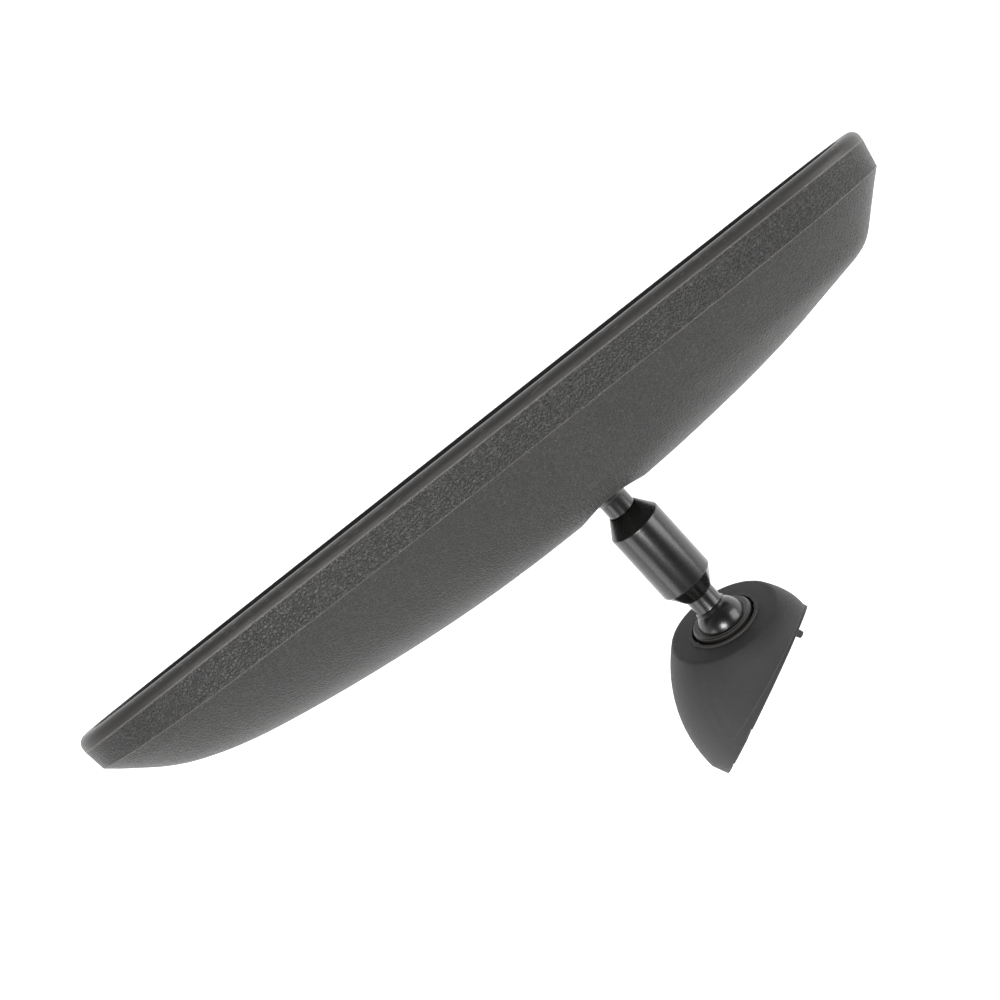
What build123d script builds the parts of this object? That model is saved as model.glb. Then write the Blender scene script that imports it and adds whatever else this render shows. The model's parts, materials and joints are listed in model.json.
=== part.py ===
from build123d import *
import os
from math import atan2, cos, pi, radians, sin, sqrt, tan

# Interior rearview mirror: a shallow prismatic day/night head on a double-ball arm,
# held by a windscreen foot with a moulded cover.
#
# Row frame: the origin is the centre of the foot's windscreen contact face, +X runs
# along the head's long axis, +Y from the glass towards the back, +Z is up. Millimetres.

# ---- driving dimensions: head -------------------------------------------------------
HEAD_HALF_LENGTH = 123.7    # lip outline, centre to each tip
HEAD_HALF_HEIGHT = 32.0     # lip outline, centre to top edge
OUTLINE_POWER = 3.4         # squareness of the lip outline
BEZEL_DEPTH = 3.4           # lip plane to the seam with the housing
SEAM_GAP = 0.1
RIDGE_DEPTH = 13.0          # lip plane to the soft ridge round the housing
BAND_DRAFT = 1.4            # top and bottom draft of the band, over a ridge depth
END_DRAFT = 2.2             # the same draft at the two tips
HEAD_DEPTH = 36.25          # lip plane to the rearmost point of the dome
DOME_POWER = 2.4            # fullness of the dome from ridge to crown, seen from the end
HOUSING_WALL = 2.2
BEZEL_LIP = 5.4             # width of the bezel's front face
BEZEL_NOSE = 2.4            # radius of the bezel's rounded outer edge
LIP_THICKNESS = 1.5
SKIRT_WALL = 1.2            # snap skirt of the bezel, inside the housing wall
SKIRT_DEPTH = 3.0
GLASS_THIN = 2.6            # glass thickness at the bottom edge
GLASS_THICK = 5.4           # glass thickness at the top edge
PAD_THICKNESS = 0.8
FIT_GAP = 0.2               # clearance between fixed neighbours
RIDGE_SINK = 0.3            # share of the wall by which the hollow's levels move forward at the ridge
SKIRT_GAP = 0.7
PAD_MARGIN = 1.0

# ---- driving dimensions: ball joints and arm ----------------------------------------
BALL_RADIUS = 6.5
RUNNING_GAP = 0.1           # radial clearance of every spherical running face
NECK_RADIUS = 3.9
COLLAR_STEP = 0.4           # the collar at the ball stands out from the neck by this much
COLLAR_LENGTH = 0.8
SHANK_RADIUS = 3.0
SHANK_LENGTH = 9.0
SHANK_GAP = 0.05
SLEEVE_RADIUS = 7.3
SLEEVE_LENGTH = 20.4        # the straight part between the two cones
CONE_LENGTH = 4.9
ARM_LENGTH = 50.2           # ball centre to ball centre

LINER_WALL = 1.6            # liner wall at the middle of the ball
LINER_LIP = 1.4             # lip height above the ball centre
LINER_FLANGE_WIDTH = 1.0
LINER_FLANGE_TOP = -3.3
LINER_BOTTOM = -4.4
RING_THICKNESS = 0.8
SEAT_WALL = 1.4
SEAT_HALF_ANGLE = 27.0
CUP_FLOOR = 1.6             # cup thickness under the ball seat
SPRING_STACK = 2.4          # height of the pair of disc springs
SPRING_GAUGE = 0.8
SPRING_INNER_RADIUS = 4.0
BORE_GAP = 0.1              # radial clearance round the liner flange
BARREL_WALL = 2.0
BARREL_FLOOR = 1.6
LINER_CHAMFER = 0.5
COLLAR_SINK = 0.1

# ---- driving dimensions: day/night mechanism -----------------------------------------
SOCKET_DROOP = 10.0         # degrees the head socket points down from straight back
SOCKET_OFFSET = -18.6       # head ball from the head's middle, along its length
SOCKET_RECESS = 6.95        # head ball below the dome's rearmost point
NECK_OPENING_RADIUS = 10.7
TILT_ROD_RADIUS = 1.5
TILT_ROD_DEPTH = 17.0
TILT_ROD_INSET = 13.0       # tilt rod below the lip outline's top edge
TILT_ROD_LENGTH = 54.0
EAR_SPACING = 26.0
EAR_THICKNESS = 3.0
PLATE_THICKNESS = 2.5
PLATE_WIDTH = 34.0
BOSS_THICKNESS = 4.0
LEVER_PIN_RADIUS = 1.25
LEVER_PIN_DEPTH = 10.5
LEVER_PIN_INSET = 6.0       # lever pin above the lip outline's bottom edge
LEVER_PIN_LENGTH = 30.0
LEVER_WIDTH = 21.0
LEVER_HUB_RADIUS = 3.4
LEVER_REACH = 18.0          # pin axis to the tip of the tab
LEVER_THICKNESS = 3.0
LEVER_REST_ANGLE = 20.0     # degrees the tab leans back in the day position
LEVER_TRAVEL = 42.0
DAY_NIGHT_TILT = 4.2
LEVER_CRANK = 6.0
SLOT_SIDE_GAP = 1.0
LUG_THICKNESS = 3.0
TAB_CORNER = 4.0
CRANK_WIDTH = 8.0
GRIP_RIBS = 3
GRIP_PITCH = 1.6
GRIP_RADIUS = 0.4
GRIP_LENGTH = 12.0
PLATE_DROP = 15.0
PLATE_RISE = 14.0
TONGUE_WIDTH = 12.0
TONGUE_LENGTH = 3.0
EAR_WALL = 1.8
EAR_ROOT = 6.0
LEAF_WIDTH = 10.0
LEAF_GAUGE = 0.6
LEAF_TOP = -10.0
LEAF_OVERHANG = 5.5
RIVET_SPACING = 5.0
RIVET_RADIUS = 1.0
RIVET_HEAD = 0.5
RIVET_HEIGHT = -12.5

# ---- driving dimensions: windscreen foot ----------------------------------------------
SCREEN_YAW = 27.3           # the contact face's inward normal, from -Y towards +X
FOOT_ROLL = 43.0            # the foot's long axis, from +Z towards -X
SOCKET_LEAN = 42.5          # socket axis from the contact face's normal
BALL_STANDOFF = 24.2        # contact centre to the foot's ball, along the socket axis
FOOT_HALF_WIDTH = 18.5
FOOT_SHORT_END = 26.8       # contact centre to the upper end
FOOT_LONG_END = 27.6        # contact centre to the tail
FOOT_POWER = 2.15
SKIRT_TAIL = 4.8            # straight skirt of the cover at the tail
SKIRT_HEAD = 0.8            # the same skirt at the upper end
FACE_RADIUS = 14.8          # flat face round the ball
FACE_RISE = -0.2            # face above the ball centre
FACE_FILLET = 1.5           # rounding of the flat face's edge
COVER_BULGE = 0.10          # crown of the cover's walls, as a share of their length
COVER_WALL = 2.0
OPENING_GAP = 0.8           # between the liner and the cover's opening
RIM_WIDTH = 0.8
RIM_HEIGHT = 0.45
FOOT_BLOCK_HEIGHT = 9.5
BUTTON_WIDTH = 22.2         # slot for the button that is glued to the glass
BUTTON_DEPTH = 5.2
BUTTON_STOP = 3.0           # upper end of the slot, below the contact centre
BUTTON_UNDERCUT = 1.6       # the slot is wider by this much on each side at its floor
CLIP_GAUGE = 0.8
SET_SCREW_RADIUS = 2.0
SET_SCREW_LENGTH = 6.0
SET_SCREW_DROP = 14.0       # below the contact centre
CLIP_WIDTH = 18.0
NOTCH_DEPTH = 0.4           # moulding notches in the cover's contact edge
NOTCH_LENGTH = 4.0
NOTCH_PLACES = (-14.0, 2.0)
HEX_RADIUS = 1.15
HEX_DEPTH = 2.5
CLIP_LENGTH = 18.0

# ---- ball joint travel that the pieces leave room for --------------------------------
FOOT_SEAT_TILT = 12.0       # the seat is centred for the middle of the arm's pitch travel
HEAD_SEAT_TILT = -7.0

# ---- pose of the arm at rest ------------------------------------------------------------
ARM_RISE = 17.1             # degrees the arm climbs from foot to head
ARM_SWING = 4.0             # degrees it turns from -Y towards +X

# ---- points that each half outline is drawn through ------------------------------------
HALF_OUTLINE_STEPS = 32
FOOT_OUTLINE_STEPS = 24
COVER_SECTIONS = 4

# ---- values worked out from the sizes above ---------------------------------------------------
SOCKET_DEPTH = HEAD_DEPTH - SOCKET_RECESS
TILT_ROD_HEIGHT = HEAD_HALF_HEIGHT - TILT_ROD_INSET
LEVER_PIN_DROP = HEAD_HALF_HEIGHT - LEVER_PIN_INSET
GLASS_FRONT = LIP_THICKNESS + 0.1
GLASS_INSET = HOUSING_WALL + SKIRT_GAP + SKIRT_WALL + FIT_GAP
NECK_DROP = (HEAD_DEPTH - SOCKET_DEPTH) * sin(radians(SOCKET_DROOP))
SEAT_INNER_RADIUS = BALL_RADIUS + RUNNING_GAP
SEAT_OUTER_RADIUS = SEAT_INNER_RADIUS + SEAT_WALL
COLLAR_RADIUS = NECK_RADIUS + COLLAR_STEP
CONE_END_RADIUS = NECK_RADIUS + COLLAR_STEP
LINER_RADIUS = BALL_RADIUS + LINER_WALL
LINER_FLANGE_RADIUS = LINER_RADIUS + LINER_FLANGE_WIDTH
OPENING_RADIUS = LINER_RADIUS + OPENING_GAP
BORE_RADIUS = LINER_FLANGE_RADIUS + BORE_GAP
CUP_TOP = -SEAT_INNER_RADIUS
CUP_BOTTOM = -SEAT_OUTER_RADIUS - RUNNING_GAP - CUP_FLOOR
BARREL_TOP = LINER_FLANGE_TOP + RING_THICKNESS
BORE_FLOOR = CUP_BOTTOM - SPRING_STACK
PLATE_FRONT = SOCKET_DEPTH + (BORE_FLOOR - BARREL_FLOOR) * cos(radians(SOCKET_DROOP))
SKIRT_SLOPE = atan2(SKIRT_TAIL - SKIRT_HEAD, FOOT_SHORT_END + FOOT_LONG_END)
SOCKET_LEAN_LOCAL = Vector(0, sin(radians(SOCKET_LEAN)), cos(radians(SOCKET_LEAN)))

# ---- frames -------------------------------------------------------------------------------
SCREEN_NORMAL = Vector(sin(radians(SCREEN_YAW)), -cos(radians(SCREEN_YAW)), 0)
SCREEN_LEVEL = Vector(-cos(radians(SCREEN_YAW)), -sin(radians(SCREEN_YAW)), 0)
FOOT_UP = (SCREEN_LEVEL * sin(radians(FOOT_ROLL)) + Vector(0, 0, cos(radians(FOOT_ROLL))))
FOOT_SIDE = FOOT_UP.cross(SCREEN_NORMAL)
FOOT = Plane(origin=(0, 0, 0), x_dir=FOOT_SIDE, z_dir=SCREEN_NORMAL)

SOCKET_AXIS = FOOT_UP * sin(radians(SOCKET_LEAN)) + SCREEN_NORMAL * cos(radians(SOCKET_LEAN))
FOOT_BALL = SOCKET_AXIS * BALL_STANDOFF
FOOT_SOCKET = Plane(origin=FOOT_BALL, x_dir=FOOT_SIDE, z_dir=SOCKET_AXIS)

ARM_AXIS = Vector(
    sin(radians(ARM_SWING)) * cos(radians(ARM_RISE)),
    -cos(radians(ARM_SWING)) * cos(radians(ARM_RISE)),
    sin(radians(ARM_RISE)),
)
ARM = Plane(origin=FOOT_BALL, x_dir=(1, 0, 0), z_dir=ARM_AXIS)
HEAD_BALL = FOOT_BALL + ARM_AXIS * ARM_LENGTH
HEAD_CENTRE = HEAD_BALL - Vector(SOCKET_OFFSET, SOCKET_DEPTH, 0)
HEAD = Location(HEAD_CENTRE)
DROOP = radians(SOCKET_DROOP)
HEAD_SOCKET = Plane(origin=HEAD_BALL, x_dir=(1, 0, 0), z_dir=(0, cos(DROOP), -sin(DROOP)))

# Dome levels as shares of the head's depth, and of its half length towards +X and -X. The
# first lies in front of the band, so the dome and the band meet in the ridge.
DOME_LEVELS = [
    (0.0552, 1.0752, 1.0655),
    (0.2759, 0.9863, 0.9992),
    (0.4303, 0.9264, 0.9507),
    (0.5241, 0.8860, 0.9232),
    (0.5959, 0.8472, 0.9022),
    (0.6703, 0.7922, 0.8747),
    (0.7448, 0.7162, 0.7971),
    (0.8138, 0.6128, 0.7001),
    (0.8772, 0.4899, 0.5950),
    (0.9269, 0.3703, 0.4753),
    (0.9655, 0.2506, 0.3476),
    (0.9903, 0.1293, 0.2142),
    (0.9986, 0.0485, 0.1132),
]
RIB_PLACES = (-0.77, -0.50, 0.19, 0.47, 0.74)    # shares of the half length
RIB_THICKNESS = 1.4
RIB_FRONT = 9.0


# ---- small helpers --------------------------------------------------------------------------
def box_between(corner, opposite):
    """Box between two opposite corners."""
    low = [min(a, b) for a, b in zip(corner, opposite)]
    size = [abs(b - a) for a, b in zip(corner, opposite)]
    return Solid.make_box(*size, Plane(origin=low))


def rod(start, direction, radius, length):
    return Solid.make_cylinder(radius, length, Plane(origin=start, z_dir=direction))


def turned(profile):
    """Solid of revolution about Z from (radius, height) points."""
    face = Face(Wire.make_polygon([(r, 0, z) for r, z in profile]))
    return Solid.revolve(face, 360, Axis.Z)


def place(solid, plane):
    return solid.moved(plane.location)


def write_part(name, solid):
    solid.label = name
    export_step(solid, f"parts/{name}.step")
    print(f"{name:22s} {len(solid.solids())} solid(s) {solid.volume:10.1f} mm3")


# ---- head outlines --------------------------------------------------------------------------
def half_outline(depth, reach, half_height, power, start_angle):
    """Half of a rounded outline, from one middle point of the long sides to the other."""
    points = []
    for i in range(HALF_OUTLINE_STEPS + 1):
        angle = start_angle + pi * i / HALF_OUTLINE_STEPS
        c = cos(angle)
        s = sin(angle)
        x = 0 if i in (0, HALF_OUTLINE_STEPS) else reach * abs(c) ** (2 / power)
        z = (-1 if s > 0 else 1) * half_height * abs(s) ** (2 / power)
        points.append(Vector(x, depth, z))
    outward = Vector(1 if reach > 0 else -1, 0, 0)
    return Edge.make_spline(points, tangents=[outward, outward * -1])


def outline_wire(depth, reach_plus, reach_minus, half_height, power):
    """Closed outline across the head at one depth; its two ends may differ in reach."""
    minus = half_outline(depth, -reach_minus, half_height, power, pi / 2)
    plus = half_outline(depth, reach_plus, half_height, power, 3 * pi / 2)
    return Wire([minus, plus])


def lip_outline(depth, inset):
    """Outline parallel to the lip, inset by a distance."""
    length = HEAD_HALF_LENGTH - inset
    height = HEAD_HALF_HEIGHT - inset
    return outline_wire(depth, length, length, height, OUTLINE_POWER)


def slab(inset, front, back):
    """Straight prism of the lip outline between two depths."""
    return Solid.extrude(Face(lip_outline(front, inset)), Vector(0, back - front, 0))


def dome_body(inset):
    """The dome's outer form, or with an inset the hollow inside it."""
    levels = []
    for depth_share, plus_share, minus_share in DOME_LEVELS:
        depth = depth_share * HEAD_DEPTH
        reach_plus = plus_share * HEAD_HALF_LENGTH
        reach_minus = minus_share * HEAD_HALF_LENGTH
        share = (depth - RIDGE_DEPTH) / (HEAD_DEPTH - RIDGE_DEPTH)
        half_height = (HEAD_HALF_HEIGHT - BAND_DRAFT) * (1 - share) ** (1 / DOME_POWER)
        power = OUTLINE_POWER + (2.0 - OUTLINE_POWER) * max(0.0, share)
        shrink = inset * min(1.0, 4 * (1 - share))
        sink = inset * (RIDGE_SINK + (1 - RIDGE_SINK) * max(0.0, share))
        levels.append(
            outline_wire(
                depth - sink,
                reach_plus - shrink,
                reach_minus - shrink,
                half_height - shrink,
                power,
            )
        )
    return Solid.make_loft(levels)


def housing_form(inset, front):
    """The housing's outer form, or with an inset the hollow inside it."""
    reach = HEAD_HALF_LENGTH - inset - 4 * END_DRAFT
    half_height = HEAD_HALF_HEIGHT - inset - 4 * BAND_DRAFT
    far_end = outline_wire(4 * RIDGE_DEPTH, reach, reach, half_height, OUTLINE_POWER)
    band = Solid.make_loft([lip_outline(front, inset), far_end], ruled=True)
    return band & dome_body(inset)


# ---- head pieces ----------------------------------------------------------------------------
def rear_housing():
    outer = housing_form(0, BEZEL_DEPTH + SEAM_GAP)
    hollow = housing_form(HOUSING_WALL, BEZEL_DEPTH)
    shell = outer - hollow
    for share in RIB_PLACES:
        x = share * HEAD_HALF_LENGTH
        rib = box_between(
            (x - RIB_THICKNESS / 2, RIB_FRONT, -HEAD_HALF_HEIGHT),
            (x + RIB_THICKNESS / 2, HEAD_DEPTH, HEAD_HALF_HEIGHT),
        )
        shell += rib & outer
    half_boss = BOSS_THICKNESS / 2
    for side in (-1, 1):
        x = SOCKET_OFFSET + side * (TILT_ROD_LENGTH / 2 - half_boss)
        boss = box_between(
            (x - half_boss, TILT_ROD_DEPTH - half_boss * 2, TILT_ROD_HEIGHT - half_boss * 2),
            (x + half_boss, TILT_ROD_DEPTH + half_boss * 2, HEAD_HALF_HEIGHT),
        )
        shell += boss & outer
        x = SOCKET_OFFSET + side * (LEVER_PIN_LENGTH - LUG_THICKNESS) / 2
        lug = box_between(
            (x - LUG_THICKNESS / 2, LEVER_PIN_DEPTH - LEVER_HUB_RADIUS, -HEAD_HALF_HEIGHT),
            (
                x + LUG_THICKNESS / 2,
                LEVER_PIN_DEPTH + LEVER_HUB_RADIUS,
                LEVER_HUB_RADIUS - LEVER_PIN_DROP,
            ),
        )
        shell += lug & outer
    shell -= tilt_rod()
    shell -= lever_pin()
    neck_way = rod(
        (SOCKET_OFFSET, SOCKET_DEPTH, -NECK_DROP),
        (0, 1, 0),
        NECK_OPENING_RADIUS,
        HEAD_DEPTH,
    )
    return shell - neck_way - lever_slot()


def front_bezel():
    """Bezel with a rounded nose, a front lip over the glass edge and a snap skirt."""
    ring = slab(0, 0, BEZEL_DEPTH)
    nose = [e for e in ring.edges() if abs(e.center().Y) < 0.01]
    ring = ring.fillet(BEZEL_NOSE, nose)
    skirt_inset = HOUSING_WALL + SKIRT_GAP
    skirt = slab(skirt_inset, BEZEL_DEPTH / 2, BEZEL_DEPTH + SKIRT_DEPTH)
    ring += skirt
    ring -= slab(BEZEL_LIP, -1, BEZEL_DEPTH)
    return ring - slab(skirt_inset + SKIRT_WALL, LIP_THICKNESS, BEZEL_DEPTH + SKIRT_DEPTH + 1)


def wedge(inset, front_thin, front_thick, thin, thick):
    """Slab whose faces lean: each depth is given at the bottom and at the top edge."""
    half = HEAD_HALF_HEIGHT - inset
    corners = [
        (-HEAD_HALF_LENGTH, front_thin, -half),
        (-HEAD_HALF_LENGTH, front_thick, half),
        (-HEAD_HALF_LENGTH, thick, half),
        (-HEAD_HALF_LENGTH, thin, -half),
    ]
    prism = Solid.extrude(Face(Wire.make_polygon(corners)), Vector(2 * HEAD_HALF_LENGTH, 0, 0))
    return prism & slab(inset, 0, RIDGE_DEPTH)


def mirror_glass():
    return wedge(
        GLASS_INSET, GLASS_FRONT, GLASS_FRONT, GLASS_FRONT + GLASS_THIN, GLASS_FRONT + GLASS_THICK
    )


def glass_pad():
    """Foam pad behind the glass; its front follows the leaning back of the wedge."""
    inset = GLASS_INSET + PAD_MARGIN
    slope = (GLASS_THICK - GLASS_THIN) / (2 * (HEAD_HALF_HEIGHT - GLASS_INSET))
    thin = GLASS_FRONT + GLASS_THIN + slope * PAD_MARGIN
    thick = GLASS_FRONT + GLASS_THICK - slope * PAD_MARGIN
    return wedge(inset, thin, thick, thin + PAD_THICKNESS, thick + PAD_THICKNESS)


def tilt_rod():
    start = (SOCKET_OFFSET - TILT_ROD_LENGTH / 2, TILT_ROD_DEPTH, TILT_ROD_HEIGHT)
    return rod(start, (1, 0, 0), TILT_ROD_RADIUS, TILT_ROD_LENGTH)


def lever_pin():
    start = (SOCKET_OFFSET - LEVER_PIN_LENGTH / 2, LEVER_PIN_DEPTH, -LEVER_PIN_DROP)
    return rod(start, (1, 0, 0), LEVER_PIN_RADIUS, LEVER_PIN_LENGTH)


def lever_slot():
    """Slot in the bottom of the band that the lever's tab swings in."""
    half_width = LEVER_WIDTH / 2 + SLOT_SIDE_GAP
    drop = HEAD_HALF_HEIGHT - LEVER_PIN_DROP
    swing = radians(max(LEVER_REST_ANGLE, LEVER_TRAVEL - LEVER_REST_ANGLE))
    reach = drop * sin(swing) / cos(swing) + LEVER_THICKNESS / 2 / cos(swing) + SLOT_SIDE_GAP / 2
    return box_between(
        (SOCKET_OFFSET - half_width, LEVER_PIN_DEPTH - reach, -2 * HEAD_HALF_HEIGHT),
        (
            SOCKET_OFFSET + half_width,
            LEVER_PIN_DEPTH + reach,
            -LEVER_PIN_DROP + LEVER_HUB_RADIUS / 2,
        ),
    )


def day_night_lever():
    """Lever with its tab hanging down, a round hub and a crank that faces the bracket."""
    half_width = LEVER_WIDTH / 2
    hub = rod((-half_width, 0, 0), (1, 0, 0), LEVER_HUB_RADIUS, LEVER_WIDTH)
    half_thickness = LEVER_THICKNESS / 2
    tab = box_between((-half_width, -half_thickness, -LEVER_REACH), (half_width, half_thickness, 0))
    corners = [e for e in tab.edges().filter_by(Axis.Y) if e.center().Z < -LEVER_REACH / 2]
    tab = tab.fillet(TAB_CORNER, corners)
    crank = box_between(
        (-CRANK_WIDTH / 2, -half_thickness / 2, 0),
        (CRANK_WIDTH / 2, half_thickness / 2, LEVER_CRANK),
    )
    bore = rod((-half_width - 1, 0, 0), (1, 0, 0), LEVER_PIN_RADIUS + SHANK_GAP, LEVER_WIDTH + 2)
    lever = hub + tab + crank
    for step in range(GRIP_RIBS):
        height = TAB_CORNER + step * GRIP_PITCH - LEVER_REACH
        lever += rod(
            (-GRIP_LENGTH / 2, -half_thickness, height), (1, 0, 0), GRIP_RADIUS, GRIP_LENGTH
        )
    lever -= bore
    lever = lever.rotate(Axis.X, LEVER_REST_ANGLE)
    return lever.moved(Location((SOCKET_OFFSET, LEVER_PIN_DEPTH, -LEVER_PIN_DROP)))


# ---- ball socket pieces, about a ball centred on the origin, opening towards +Z ---------------
def socket_barrel(wall):
    """Outer form of the barrel that holds a ball socket."""
    height = BARREL_TOP - BORE_FLOOR + BARREL_FLOOR
    return rod((0, 0, BORE_FLOOR - BARREL_FLOOR), (0, 0, 1), BORE_RADIUS + wall, height)


def socket_bore():
    return rod((0, 0, BORE_FLOOR), (0, 0, 1), BORE_RADIUS, BARREL_TOP - BORE_FLOOR + 1)


def socket_liner():
    """Nylon liner: a flanged collar whose spherical bore keeps the ball in."""
    collar = turned(
        [
            (0, LINER_BOTTOM),
            (LINER_FLANGE_RADIUS, LINER_BOTTOM),
            (LINER_FLANGE_RADIUS, LINER_FLANGE_TOP),
            (LINER_RADIUS, LINER_FLANGE_TOP),
            (LINER_RADIUS, LINER_LIP - LINER_CHAMFER),
            (LINER_RADIUS - LINER_CHAMFER, LINER_LIP),
            (0, LINER_LIP),
        ]
    )
    return collar - Solid.make_sphere(SEAT_INNER_RADIUS, angle1=-90, angle2=90, angle3=360)


def retaining_ring():
    inner = LINER_RADIUS + SHANK_GAP
    bottom = LINER_FLANGE_TOP
    top = BARREL_TOP
    return turned([(inner, bottom), (BORE_RADIUS, bottom), (BORE_RADIUS, top), (inner, top)])


def ball_seat(tilt):
    """Friction seat under the ball, a piece of a spherical shell, turned by its tilt."""
    half_angle = radians(SEAT_HALF_ANGLE)
    s = sin(half_angle)
    c = cos(half_angle)
    s_mid = sin(half_angle / 2)
    c_mid = cos(half_angle / 2)
    inner_edge = Edge.make_three_point_arc(
        (0, 0, -SEAT_INNER_RADIUS),
        (SEAT_INNER_RADIUS * s_mid, 0, -SEAT_INNER_RADIUS * c_mid),
        (SEAT_INNER_RADIUS * s, 0, -SEAT_INNER_RADIUS * c),
    )
    outer_edge = Edge.make_three_point_arc(
        (0, 0, -SEAT_OUTER_RADIUS),
        (SEAT_OUTER_RADIUS * s_mid, 0, -SEAT_OUTER_RADIUS * c_mid),
        (SEAT_OUTER_RADIUS * s, 0, -SEAT_OUTER_RADIUS * c),
    )
    rim = Edge.make_line(inner_edge @ 1, outer_edge @ 1)
    pole = Edge.make_line(inner_edge @ 0, outer_edge @ 0)
    cap = Solid.revolve(Face(Wire([inner_edge, rim, outer_edge, pole])), 360, Axis.Z)
    return cap.rotate(Axis.X, tilt)


def spring_cup():
    cup = rod((0, 0, CUP_BOTTOM), (0, 0, 1), BORE_RADIUS - FIT_GAP, CUP_TOP - CUP_BOTTOM)
    radius = SEAT_OUTER_RADIUS + RUNNING_GAP
    return cup - Solid.make_sphere(radius, angle1=-90, angle2=90, angle3=360)


def disc_springs():
    """Two disc springs, stacked back to back under the cup."""
    outer = BORE_RADIUS - 2 * FIT_GAP
    inner = SPRING_INNER_RADIUS
    middle = CUP_BOTTOM - SPRING_STACK / 2
    springs = []
    for way in (-1, 1):
        far = middle + way * SPRING_STACK / 2
        profile = [
            (outer, far),
            (outer, far - way * SPRING_GAUGE),
            (inner, middle),
            (inner, middle + way * SPRING_GAUGE),
        ]
        springs.append(turned(profile))
    return Compound(springs)


def write_socket(prefix, plane, seat_tilt):
    write_part(f"{prefix}_liner", place(socket_liner(), plane))
    write_part(f"{prefix}_retaining_ring", place(retaining_ring(), plane))
    write_part(f"{prefix}_ball_seat", place(ball_seat(seat_tilt), plane))
    write_part(f"{prefix}_spring_cup", place(spring_cup(), plane))
    write_part(f"{prefix}_disc_springs", place(disc_springs(), plane))


# ---- bracket in the head --------------------------------------------------------------------
def socket_bracket():
    """Plate with the ball barrel, two pivot ears at the top and a tongue at the bottom."""
    back = PLATE_FRONT + PLATE_THICKNESS
    plate = box_between(
        (SOCKET_OFFSET - PLATE_WIDTH / 2, PLATE_FRONT, -PLATE_DROP),
        (SOCKET_OFFSET + PLATE_WIDTH / 2, back, PLATE_RISE),
    )
    body = plate + box_between(
        (SOCKET_OFFSET - TONGUE_WIDTH / 2, PLATE_FRONT, -PLATE_DROP - TONGUE_LENGTH),
        (SOCKET_OFFSET + TONGUE_WIDTH / 2, back, -PLATE_DROP),
    )
    ear_radius = TILT_ROD_RADIUS + EAR_WALL
    for side in (-1, 1):
        x = SOCKET_OFFSET + side * EAR_SPACING / 2
        low = x - EAR_THICKNESS / 2
        body += box_between(
            (low, TILT_ROD_DEPTH - ear_radius, PLATE_RISE - EAR_ROOT),
            (low + EAR_THICKNESS, TILT_ROD_DEPTH + ear_radius, TILT_ROD_HEIGHT),
        )
        start = (low, TILT_ROD_DEPTH, TILT_ROD_HEIGHT)
        body += rod(start, (1, 0, 0), ear_radius, EAR_THICKNESS)
    bore_start = (SOCKET_OFFSET - TILT_ROD_LENGTH / 2, TILT_ROD_DEPTH, TILT_ROD_HEIGHT)
    body -= rod(bore_start, (1, 0, 0), TILT_ROD_RADIUS + SHANK_GAP, TILT_ROD_LENGTH)
    to_head = HEAD.inverse()
    body += place(socket_barrel(BARREL_WALL), HEAD_SOCKET).moved(to_head)
    body -= place(socket_bore(), HEAD_SOCKET).moved(to_head)
    return body - leaf_rivets()


def toggle_leaf():
    """Leaf spring on the front of the plate that snaps the head between day and night."""
    back = PLATE_FRONT
    leaf = box_between(
        (SOCKET_OFFSET - LEAF_WIDTH / 2, back - LEAF_GAUGE, -PLATE_DROP - LEAF_OVERHANG),
        (SOCKET_OFFSET + LEAF_WIDTH / 2, back, LEAF_TOP),
    )
    return leaf - leaf_rivets()


def leaf_rivets():
    length = PLATE_THICKNESS + LEAF_GAUGE + 2 * RIVET_HEAD
    rivets = []
    for side in (-1, 1):
        start = (
            SOCKET_OFFSET + side * RIVET_SPACING / 2,
            PLATE_FRONT - LEAF_GAUGE - RIVET_HEAD,
            RIVET_HEIGHT,
        )
        rivets.append(rod(start, (0, 1, 0), RIVET_RADIUS, length))
    return Compound(rivets)


# ---- arm, along +Z from the foot's ball at the origin -----------------------------------------
def ball_stud():
    """Ball, collar, neck and shank, with the ball on the origin and the shank along +Z."""
    neck_end = ARM_LENGTH / 2 - SLEEVE_LENGTH / 2 - CONE_LENGTH
    collar_start = sqrt(BALL_RADIUS**2 - COLLAR_RADIUS**2) - COLLAR_SINK
    stud = Solid.make_sphere(BALL_RADIUS, angle1=-90, angle2=90, angle3=360)
    stud += rod((0, 0, collar_start), (0, 0, 1), COLLAR_RADIUS, COLLAR_LENGTH)
    stud += rod((0, 0, 0), (0, 0, 1), NECK_RADIUS, neck_end)
    return stud + rod((0, 0, neck_end), (0, 0, 1), SHANK_RADIUS, SHANK_LENGTH)


def arm_sleeve():
    """Turned sleeve with a cone at each end and a bore for each stud's shank."""
    low = ARM_LENGTH / 2 - SLEEVE_LENGTH / 2
    high = ARM_LENGTH / 2 + SLEEVE_LENGTH / 2
    sleeve = turned(
        [
            (0, low - CONE_LENGTH),
            (CONE_END_RADIUS, low - CONE_LENGTH),
            (SLEEVE_RADIUS, low),
            (SLEEVE_RADIUS, high),
            (CONE_END_RADIUS, high + CONE_LENGTH),
            (0, high + CONE_LENGTH),
        ]
    )
    depth = SHANK_LENGTH + FIT_GAP
    running_bore = SHANK_RADIUS + SHANK_GAP
    sleeve -= rod((0, 0, low - CONE_LENGTH), (0, 0, 1), running_bore, depth)
    return sleeve - rod((0, 0, high + CONE_LENGTH), (0, 0, -1), SHANK_RADIUS, depth)


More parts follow.
